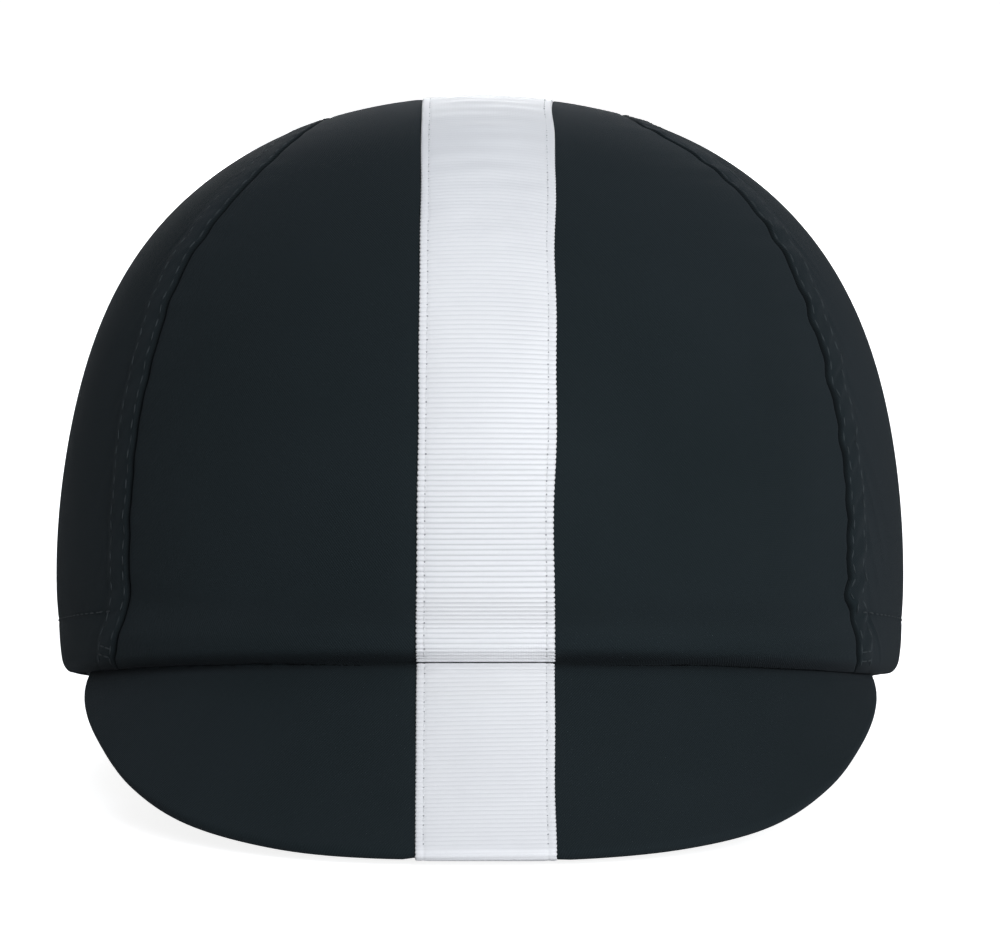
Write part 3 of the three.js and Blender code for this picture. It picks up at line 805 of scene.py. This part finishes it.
# The root stands up inside the hem: its rows from the knee of its lower face to the knee of its upper face
def rootRows(turn):
    out, height = peakUpper(turn, 0.0)[:2]
    rootOut = -cloth["turnedHemWall"] - cloth["clearance"]
    knee = height + (out - rootOut) * math.tan(peak["droopAtRoot"])
    wide, small = peak["thickness"], peak["rootRound"]
    top = np.maximum(peak["rootHeight"], knee + wide)
    bend = wide / math.cos((math.pi / 2 - peak["droopAtRoot"]) / 2)
    kneeDroop = (math.pi / 2 + peak["droopAtRoot"]) / 2
    rows = [(rootOut - math.sin(kneeDroop) * bend, knee - math.cos(kneeDroop) * bend)]
    rows += [(rootOut - wide, top - small), (rootOut - wide + small, top)]
    rows += [(rootOut - small, top), (rootOut, top - small), (rootOut, knee)]
    return [row[0] + 0 * turn for row in rows], [row[1] for row in rows]


def buildPeak():
    turn = np.linspace(-1, 1, peak["columns"] + 1)
    turn = peak["spread"] * (turn + 0.07 * np.sin(math.pi * turn))
    face = np.linspace(0, 1, peak["faceRows"] + 1)
    nose = 1 + np.linspace(0, 1, peak["edgeRows"] + 1)[1:-1]
    part = np.concatenate([face, nose, 1 + np.ones(len(face))])[:, None]
    slope = peakSlope(turn)
    back = np.concatenate([np.zeros(len(face) + len(nose)), face])[:, None] * slope
    soft = 0.14 * np.sin(7 * turn + 2 * part + 0.7) * np.sin(3.1 * np.minimum(part, 1) + 9 * turn)
    partGrid = part + 0 * turn
    x = peakPoint(turn + 0 * back, *peakPlace(turn[None, :] + 0 * part, partGrid, back, soft))[..., 0]
    bed = ribbonBed(x) * fadeOut(back - peak["ribbonReturn"], 0, 1.5)
    out, height = peakPlace(turn[None, :] + 0 * part, partGrid, back, soft + (bed - creaseAt(part * slope)))
    rootOut, rootHeight = rootRows(turn)
    out = np.vstack([out, *rootOut, out[:1]])
    height = np.vstack([height, *rootHeight, height[:1]])
    points = peakPoint(np.broadcast_to(turn, out.shape), out, height)
    flat = flatOf(points, len(turn) // 2)
    # painted shade on the peak along its crease with the hem
    fromCrease = np.vstack([part * slope, np.full((len(rootOut) + 1, len(turn)), peak["length"])])
    shade = cloth["creaseShade"] * fadeOut(fromCrease, 0.2, cloth["creaseHeight"])
    gridPiece("peakCloth", points, points, flat, peakTwill, "peak", shade)


def buildPeakRibbon():
    slope = float(peakSlope(np.array(0.0)))
    under = ribbon["lift"] - ribbon["bedDepth"]
    distance = under + ribbon["thickness"]
    nose = math.pi * (peak["thickness"] / 2 + distance)
    rows = ribRows(slope + nose + peak["ribbonReturn"] - peak["ribbonStart"])
    row, share = np.meshgrid(rows, ribbonShares, indexing="ij")
    run = row + peak["ribbonStart"] + ribSkew(row + 300, share) * smoothStep(row, 0, 6)
    part = np.where(run < slope, run / slope, 1 + np.clip((run - slope) / nose, 0, 1))
    back = np.maximum(run - slope - nose, 0)
    strength = np.full(row.shape, ribbon["peakRibStrength"])
    upper = distance + ribRelief(row, share, strength) - creaseAt(run)
    sideways = peakSideways(row, share)
    outer, inner = (peakBeside(sideways, part, back, lift) for lift in (upper, under - creaseAt(run)))
    flat = np.stack([share * ribbon["width"], row], axis=-1)
    gridPiece("peakRibbon", outer, inner, flat, ribbonWeave, "peak_ribbon", strength)


stitches = {
    "seam": {"pitch": 2.9, "length": 2.1, "width": 0.34, "height": 0.26},
    "hem": {"pitch": 3.0, "length": 2.2, "width": 0.32, "height": 0.24},
    "ribbon": {"pitch": 2.5, "length": 1.9, "width": 0.3, "height": 0.2},
    "hole": {"length": 0.42, "width": 0.36, "height": 0.22},
    "tackHeights": (1.6, 3.0),  # short rows that lock both seam rows just above the hem
    "sunk": 0.14,  # how deep the stitches of the ribbons lie
    "around": 6,
    "up": 5,
}


# Adds a stitch or needle hole at each of the points, lying along the row and on the cloth
def addStitches(bm, before, middle, after, outward, size):
    few = bmesh.new()
    mesh = bpy.data.meshes.new("fewStitches")
    for count, (start, centre, end, up) in enumerate(zip(before, middle, after, outward)):
        forward = Vector(end - start).normalized()
        up = Vector(up)
        side = up.cross(forward).normalized()
        up = forward.cross(side)
        place = Matrix.Identity(4)
        for column, (axis, width) in enumerate(zip((forward, side, up), ("length", "width", "height"))):
            place.col[column][:3] = axis * (size[width] / 2000)
        place.col[3][:3] = Vector(centre)
        rings = {"u_segments": stitches["around"], "v_segments": stitches["up"]}
        bmesh.ops.create_uvsphere(few, **rings, radius=1.0, matrix=place)
        # handed over a few at a time, as a bmesh operator slows down when its mesh grows
        if count % 20 == 19 or count == len(middle) - 1:
            few.to_mesh(mesh)
            bm.from_mesh(mesh)
            few.clear()
    few.free()
    bpy.data.meshes.remove(mesh)


# Even steps along a row: pointAt gives the row's points and the points above them, over a part of the row
def stitchRow(bm, pointAt, span, size, pitch, shift=0.0):
    samples = np.linspace(0, 1, 1200)
    travelled = travelledOver(pointAt(samples)[0])
    first, last = travelled[-1] * span[0], travelled[-1] * span[1]
    centres = first + (np.arange(int((last - first) / pitch)) + 0.5 + shift) * pitch
    half = size["length"] / 2
    ends = [pointAt(np.interp(centres + step, travelled, samples)) for step in (-half, 0, half)]
    outward = standing(ends[1][1]) - standing(ends[1][0])
    outward = outward / np.linalg.norm(outward, axis=-1, keepdims=True)
    before, middle, after = (standing(end[0]) for end in ends)
    addStitches(bm, before, middle, after, outward, size)


# A piece of thread from its rows of stitches
def threadPiece(name, rows, material):
    bm = bmesh.new()
    for row in rows:
        stitchRow(bm, *row)
    bmesh.ops.recalc_face_normals(bm, faces=bm.faces[:])
    addPiece(name, bm, bpy.data.meshes.new(name), material)


def onCloth(across, along, lift):
    return clothPoint(across, along, lift), clothPoint(across, along, lift + 1)


def besidePanel(side, travelled, away, lift):
    across, along = besideSeam(seams[side], travelled, outwards[side] * away)
    relief = sideRelief(side, fromHemOf(travelled, seams[side]), away)
    return onCloth(across, along, calmedAtHem(relief, levelOf(across, along), 3) + lift)


def seamStitchPoints(side, away):
    return lambda share: besidePanel(side, share * seams[side]["length"], np.full(share.shape, away), 0.05)


def tackPoints(side, height):
    def pointAt(share):
        away = lerp(seamLook["stitchAt"][0] - 0.4, seamLook["stitchAt"][1] + 1.2, share)
        return besidePanel(side, (height + 0.9 * share) * patternPerHeight, away, 0.06)

    return pointAt


def hemStitchPoints(side):
    across, along = sidePlaces(side)[1:]
    turns = np.arctan2(np.abs(across[(0, -1), -1]), -along[(0, -1), -1])
    radius = 1 - cloth["turnedHemHeight"] * patternPerHeight
    folded = seamLook["ridgeColumns"][-1]

    def pointAt(share):
        turn = lerp(turns[0] - 0.085, turns[1] + 0.06, share)
        away = np.minimum(turn - turns[0], turns[1] - turn) * crown["halfWidth"] + folded
        lift = sideRelief(side, np.full(share.shape, cloth["turnedHemHeight"]), away) - 0.04
        return onCloth(outwards[side] * radius * np.sin(turn), -radius * np.cos(turn), lift)

    return pointAt


def crownRibbonStitchPoints(side):
    reach, run = crownRun()

    def pointAt(share):
        at = share * (run[-1] - 2 * ribbon["endInset"])
        sideways = crownSideways(at, np.full(at.shape, stitchShares[side]))
        place = ribbonPlace(np.interp(at + ribbon["endInset"], run, reach), sideways)
        return onCloth(*place, ribbon["lift"] + ribbon["thickness"] - stitches["sunk"])

    return pointAt


def peakRibbonStitchPoints(side):
    slope = float(peakSlope(np.array(0.0)))

    def pointAt(share):
        at = share * slope
        sideways = peakSideways(at, np.full(at.shape, stitchShares[side]))
        top = ribbon["lift"] - ribbon["bedDepth"] + ribbon["thickness"] - creaseAt(at)
        return [peakBeside(sideways, share, 0 * share, lift) for lift in (top - stitches["sunk"], top + 1)]

    return pointAt


def seamStitchRows(side):
    size = stitches["seam"]
    for row, away in enumerate(seamLook["stitchAt"]):
        yield seamStitchPoints(side, away), (0.004, 0.996), size, size["pitch"], 0.3 * row
    for height in stitches["tackHeights"]:
        yield tackPoints(side, height), (0.02, 0.98), size, size["pitch"] * 0.85


def hemStitchRows():
    for side in seams:
        yield hemStitchPoints(side), (0.0, 1.0), stitches["hem"], stitches["hem"]["pitch"]


def ribbonStitchRows(size, shift):
    pitch = stitches["ribbon"]["pitch"]
    for side in stitchShares:
        yield crownRibbonStitchPoints(side), (0.004, 0.996), size, pitch, shift
        yield peakRibbonStitchPoints(side), (0.02, 1), size, pitch * 0.88, shift


# Sets each input of a node to a plain value, or links it to a socket
def feed(tree, node, inputs):
    for label, value in inputs.items():
        socket = node.inputs[label]
        if isinstance(value, bpy.types.NodeSocket):
            tree.links.new(value, socket)
        else:
            socket.default_value = value


def addNode(tree, kind, **inputs):
    node = tree.nodes.new(kind)
    feed(tree, node, inputs)
    return node


def addMath(tree, operation, first, second=None, clamp=False):
    node = tree.nodes.new("ShaderNodeMath")
    node.operation = operation
    node.use_clamp = clamp
    feed(tree, node, {0: first} if second is None else {0: first, 1: second})
    return node.outputs[0]


# A value times a factor, plus something
def addScaled(tree, value, factor, plus):
    return addMath(tree, "ADD", addMath(tree, "MULTIPLY", value, factor), plus)


def addMix(tree, first, second, share):
    mix = tree.nodes.new("ShaderNodeMix")
    mix.data_type = "RGBA"
    feed(tree, mix, {6: first, 7: second, 0: share})
    return mix.outputs[2]


def addBump(tree, shader, height, strength, distance):
    bump = addNode(tree, "ShaderNodeBump", Strength=strength, Distance=distance, Height=height)
    feed(tree, shader, {"Normal": bump.outputs["Normal"]})


def addMark(tree):
    mark = tree.nodes.new("ShaderNodeAttribute")
    mark.attribute_name = "mark"
    return mark.outputs["Fac"]


def newGroup(name, place, values, outputs):
    tree = bpy.data.node_groups.new(name, "ShaderNodeTree")
    tree.interface.new_socket(name=place, in_out="INPUT", socket_type="NodeSocketVector")
    for label, value in values.items():
        socket = tree.interface.new_socket(name=label, in_out="INPUT", socket_type="NodeSocketFloat")
        socket.default_value = value
    for label in outputs:
        tree.interface.new_socket(name=label, in_out="OUTPUT", socket_type="NodeSocketFloat")
    return tree, tree.nodes.new("NodeGroupInput").outputs, tree.nodes.new("NodeGroupOutput")


# Diagonal lines of twill with a little fuzz, from flat coordinates in millimetres
def makeTwillGroup():
    values = {"Pitch": 0.5, "Fuzz": 0.4}
    tree, given, result = newGroup("twillLines", "Flat", values, ("Lines", "Height"))
    parts = addNode(tree, "ShaderNodeSeparateXYZ", Vector=given["Flat"])
    slant = addScaled(tree, parts.outputs[1], 0.8, parts.outputs[0])
    turns = addMath(tree, "DIVIDE", addMath(tree, "MULTIPLY", slant, 2 * math.pi), given["Pitch"])
    noise = addNode(tree, "ShaderNodeTexNoise", Scale=1.6, Detail=3.0, Roughness=0.6, Vector=given["Flat"])
    fuzz = addMath(tree, "MULTIPLY", addMath(tree, "SUBTRACT", noise.outputs["Fac"], 0.5), 6.0)
    wave = addMath(tree, "SINE", addScaled(tree, fuzz, given["Fuzz"], turns))
    lines = addScaled(tree, wave, 0.5, 0.5)
    grain = addNode(tree, "ShaderNodeTexNoise", Scale=5.0, Detail=2.0, Vector=given["Flat"])
    feed(tree, result, {"Lines": lines, "Height": addScaled(tree, grain.outputs["Fac"], 0.8, lines)})
    return tree


# Slow changes of tone over a piece, from object coordinates
def makeToneGroup():
    tree, given, result = newGroup("slowTone", "Place", {"Scale": 30.0}, ("Tone",))
    inputs = {"Vector": given["Place"], "Scale": given["Scale"]}
    noise = addNode(tree, "ShaderNodeTexNoise", Detail=4.0, Roughness=0.55, **inputs)
    span = {"From Min": 0.3, "From Max": 0.7, "Value": noise.outputs["Fac"]}
    feed(tree, result, {"Tone": addNode(tree, "ShaderNodeMapRange", **span).outputs["Result"]})
    return tree


# Grooves between the ribs and the fine yarns along the ribbon
def makeRibGroup():
    values = {"Pitch": ribbon["ribPitch"], "Yarn": 0.28}
    tree, given, result = newGroup("ribGrooves", "Flat", values, ("Groove", "Height"))
    parts = addNode(tree, "ShaderNodeSeparateXYZ", Vector=given["Flat"])
    turns = addMath(tree, "MULTIPLY", addMath(tree, "DIVIDE", parts.outputs[1], given["Pitch"]), math.pi)
    crest = addMath(tree, "ABSOLUTE", addMath(tree, "SINE", turns))
    groove = addMath(tree, "POWER", addMath(tree, "SUBTRACT", 1.0, crest), 3.0, clamp=True)
    yarnTurns = addMath(tree, "MULTIPLY", addMath(tree, "DIVIDE", parts.outputs[0], given["Yarn"]), math.pi)
    yarn = addMath(tree, "ABSOLUTE", addMath(tree, "SINE", yarnTurns))
    noise = addNode(tree, "ShaderNodeTexNoise", Scale=3.0, Detail=3.0, Vector=given["Flat"])
    feed(tree, result, {"Groove": groove, "Height": addScaled(tree, yarn, 0.6, noise.outputs["Fac"])})
    return tree


def newMaterial(name, values):
    material = bpy.data.materials.new(name)
    material.use_nodes = True
    tree = material.node_tree
    shader = tree.nodes["Principled BSDF"]
    feed(tree, shader, values)
    return material, tree, shader


def placeGroup(tree, group, **inputs):
    node = tree.nodes.new("ShaderNodeGroup")
    node.node_tree = group
    feed(tree, node, inputs)
    return node.outputs


def flatSocket(tree):
    uv = tree.nodes.new("ShaderNodeUVMap")
    uv.uv_map = "flat"
    return uv.outputs["UV"]


def addTone(tree, scale):
    place = tree.nodes.new("ShaderNodeTexCoord").outputs["Object"]
    return placeGroup(tree, toneGroup, Place=place, Scale=scale)["Tone"]


clothLook = {
    "dark": (0.0053, 0.0093, 0.0104, 1),
    "light": (0.0094, 0.0144, 0.0164, 1),
    "worn": (0.0126, 0.0180, 0.0206, 1),
    "paintedShade": (0.0008, 0.0012, 0.0014, 1),  # colour of the painted shade down in the seams and the crease
    "twillPitch": 0.52,
    "toneScale": 24.0,
    "roughness": 0.86,
    "values": {
        "Specular IOR Level": 0.12,
        "Sheen Weight": 0.02,
        "Sheen Roughness": 0.5,
        "Sheen Tint": (0.75, 0.85, 1, 1),
    },
}


def makeTwill(name):
    material, tree, shader = newMaterial(name, clothLook["values"])
    weave = placeGroup(tree, twillGroup, Flat=flatSocket(tree), Pitch=clothLook["twillPitch"], Fuzz=0.45)
    tone = addTone(tree, clothLook["toneScale"])
    base = addMix(tree, clothLook["dark"], clothLook["light"], weave["Lines"])
    base = addMix(tree, base, clothLook["worn"], addMath(tree, "MULTIPLY", tone, 0.35))
    # the mark paints shade down in the seams and in the crease between the hem and the peak
    base = addMix(tree, base, clothLook["paintedShade"], addMark(tree))
    rough = addScaled(tree, weave["Lines"], 0.1, clothLook["roughness"])
    feed(tree, shader, {"Base Color": base, "Roughness": rough})
    addBump(tree, shader, weave["Height"], 0.55, 0.00012)
    return material


ribbonLook = {
    "face": (0.650, 0.646, 0.648, 1),
    "tint": (0.700, 0.697, 0.697, 1),
    # colour of the painted shade down in the grooves between the ribs
    "groove": (0.34, 0.34, 0.345, 1),
    "yarn": 0.3,
    "toneScale": 40.0,
    "values": {"Specular IOR Level": 0.35, "Sheen Weight": 0.08},
}


def makeRibbonWeave():
    material, tree, shader = newMaterial("ribbonWeave", ribbonLook["values"])
    pitches = {"Pitch": ribbon["ribPitch"], "Yarn": ribbonLook["yarn"]}
    ribs = placeGroup(tree, ribGroup, Flat=flatSocket(tree), **pitches)
    tone = addTone(tree, ribbonLook["toneScale"])
    strength = addMark(tree)
    uneven = addScaled(tree, tone, 0.4, 0.35)
    # painted shade down in the grooves, stronger where the ribs are plainer, and uneven
    paintedShade = addMath(tree, "MULTIPLY", ribs["Groove"], addMath(tree, "MULTIPLY", strength, uneven))
    face = addMix(tree, ribbonLook["face"], ribbonLook["tint"], tone)
    base = addMix(tree, face, ribbonLook["groove"], paintedShade)
    rough = addScaled(tree, ribs["Groove"], 0.3, 0.5)
    feed(tree, shader, {"Base Color": base, "Roughness": rough})
    height = addMath(tree, "MULTIPLY", ribs["Height"], addScaled(tree, strength, 0.8, 0.2))
    addBump(tree, shader, height, 0.35, 0.00008)
    return material


threadLook = {
    "seamThread": ((0.026, 0.034, 0.037, 1), 0.75),
    "hemThread": ((0.024, 0.031, 0.034, 1), 0.75),
    "ribbonThread": ((0.70, 0.70, 0.70, 1), 0.55),
    # the grey of the needle holes is painted shade down in the holes
    "needleHoleShade": ((0.33, 0.335, 0.34, 1), 0.9),
}


def makeThread(name):
    colour, roughness = threadLook[name]
    material, tree, shader = newMaterial(name, {"Roughness": roughness, "Specular IOR Level": 0.3})
    tone = addTone(tree, 900.0)
    darker = tuple(channel * 0.7 for channel in colour[:3]) + (1,)
    feed(tree, shader, {"Base Color": addMix(tree, darker, colour, tone)})
    addBump(tree, shader, tone, 0.4, 0.00005)
    return material


twillGroup = makeTwillGroup()
toneGroup = makeToneGroup()
ribGroup = makeRibGroup()
clothTwill = makeTwill("clothTwill")
peakTwill = makeTwill("peakTwill")
ribbonWeave = makeRibbonWeave()
seamThread, hemThread, ribbonThread, needleHoleShade = (makeThread(name) for name in threadLook)
print("materials made")

buildCentrePanel()
buildSidePanel("left")
buildSidePanel("right")
buildCrownRibbon()
buildPeak()
buildPeakRibbon()

threadPiece("seamStitchesLeft", seamStitchRows("left"), seamThread)
threadPiece("seamStitchesRight", seamStitchRows("right"), seamThread)
threadPiece("hemStitches", hemStitchRows(), hemThread)
threadPiece("ribbonStitches", ribbonStitchRows(stitches["ribbon"], 0), ribbonThread)
# grey marks between the ribbon stitches: painted shade of the needle holes
threadPiece("ribbonNeedleHoles", ribbonStitchRows(stitches["hole"], 0.5), needleHoleShade)

studio = {
    "cameraPlace": (0, -1.2259, 0.1893),
    "cameraWay": (0, 0.9943, -0.1070),
    "lens": 228.13,
    "shift": 0.0194,
    "worldLight": 0.21,
    "worldColour": (0.99, 1, 0.985, 1),
    "lightsAim": (0, 0, 0.06),
    "floorSize": 40.0,
    "floor": {"Base Color": (0.8, 0.8, 0.8, 1), "Roughness": 0.9, "Specular IOR Level": 0.1},
    "floorGlow": 0.86,  # keeps the floor near white where the camera sees it
    "lights": {
        "key": {"place": (0.68, -1.62, 0.68), "size": 1.1, "power": 34.0, "colour": (0.95, 0.985, 1.05)},
        "top": {"place": (-0.2, 0.6, 1.5), "size": 1.0, "power": 5.5, "colour": (0.86, 0.96, 1.13)},
        "back": {"place": (-0.1, 2.0, 0.6), "size": 1.0, "power": 15.0, "colour": (0.98, 0.99, 1.0)},
    },
}


def buildFloor():
    bm = bmesh.new()
    bmesh.ops.create_grid(bm, x_segments=1, y_segments=1, size=studio["floorSize"] / 2)
    mesh = bpy.data.meshes.new("floor")
    bm.to_mesh(mesh)
    bm.free()
    material, tree, shader = newMaterial("paleFloor", studio["floor"])
    seen = tree.nodes.new("ShaderNodeLightPath").outputs["Is Camera Ray"]
    strength = addMath(tree, "MULTIPLY", seen, studio["floorGlow"])
    glow = addNode(tree, "ShaderNodeEmission", Color=(1, 1, 1, 1), Strength=strength)
    both = tree.nodes.new("ShaderNodeAddShader")
    feed(tree, both, {0: shader.outputs[0], 1: glow.outputs[0]})
    feed(tree, tree.nodes["Material Output"], {"Surface": both.outputs[0]})
    mesh.materials.append(material)
    floor = bpy.data.objects.new("floor", mesh)
    bpy.context.scene.collection.objects.link(floor)


def buildStudio():
    scene = bpy.context.scene
    world = bpy.data.worlds.new("studio")
    scene.world = world
    world.use_nodes = True
    tree = world.node_tree
    soft = tree.nodes["Background"]
    feed(tree, soft, {"Color": studio["worldColour"], "Strength": studio["worldLight"]})
    white = addNode(tree, "ShaderNodeBackground", Color=(1, 1, 1, 1), Strength=1.0)
    seen = tree.nodes.new("ShaderNodeLightPath").outputs["Is Camera Ray"]
    mix = tree.nodes.new("ShaderNodeMixShader")
    feed(tree, mix, {0: seen, 1: soft.outputs[0], 2: white.outputs[0]})
    feed(tree, tree.nodes["World Output"], {"Surface": mix.outputs[0]})
    for name, values in studio["lights"].items():
        light = bpy.data.lights.new(name, "AREA")
        light.shape = "DISK"
        light.size = values["size"]
        light.energy = values["power"]
        light.color = values["colour"]
        lamp = bpy.data.objects.new(name, light)
        lamp.location = values["place"]
        way = Vector(studio["lightsAim"]) - lamp.location
        lamp.rotation_euler = way.to_track_quat("-Z", "Y").to_euler()
        scene.collection.objects.link(lamp)
    lens = bpy.data.cameras.new("camera")
    lens.lens = studio["lens"]
    lens.sensor_width = 36.0
    lens.shift_x = studio["shift"]
    lens.clip_start = 0.01
    lens.clip_end = 100.0
    camera = bpy.data.objects.new("camera", lens)
    camera.location = studio["cameraPlace"]
    camera.rotation_euler = Vector(studio["cameraWay"]).to_track_quat("-Z", "Y").to_euler()
    scene.collection.objects.link(camera)
    scene.camera = camera
    scene.view_settings.view_transform = "Standard"
    scene.view_settings.look = "None"


buildFloor()
buildStudio()
print("studio set up")
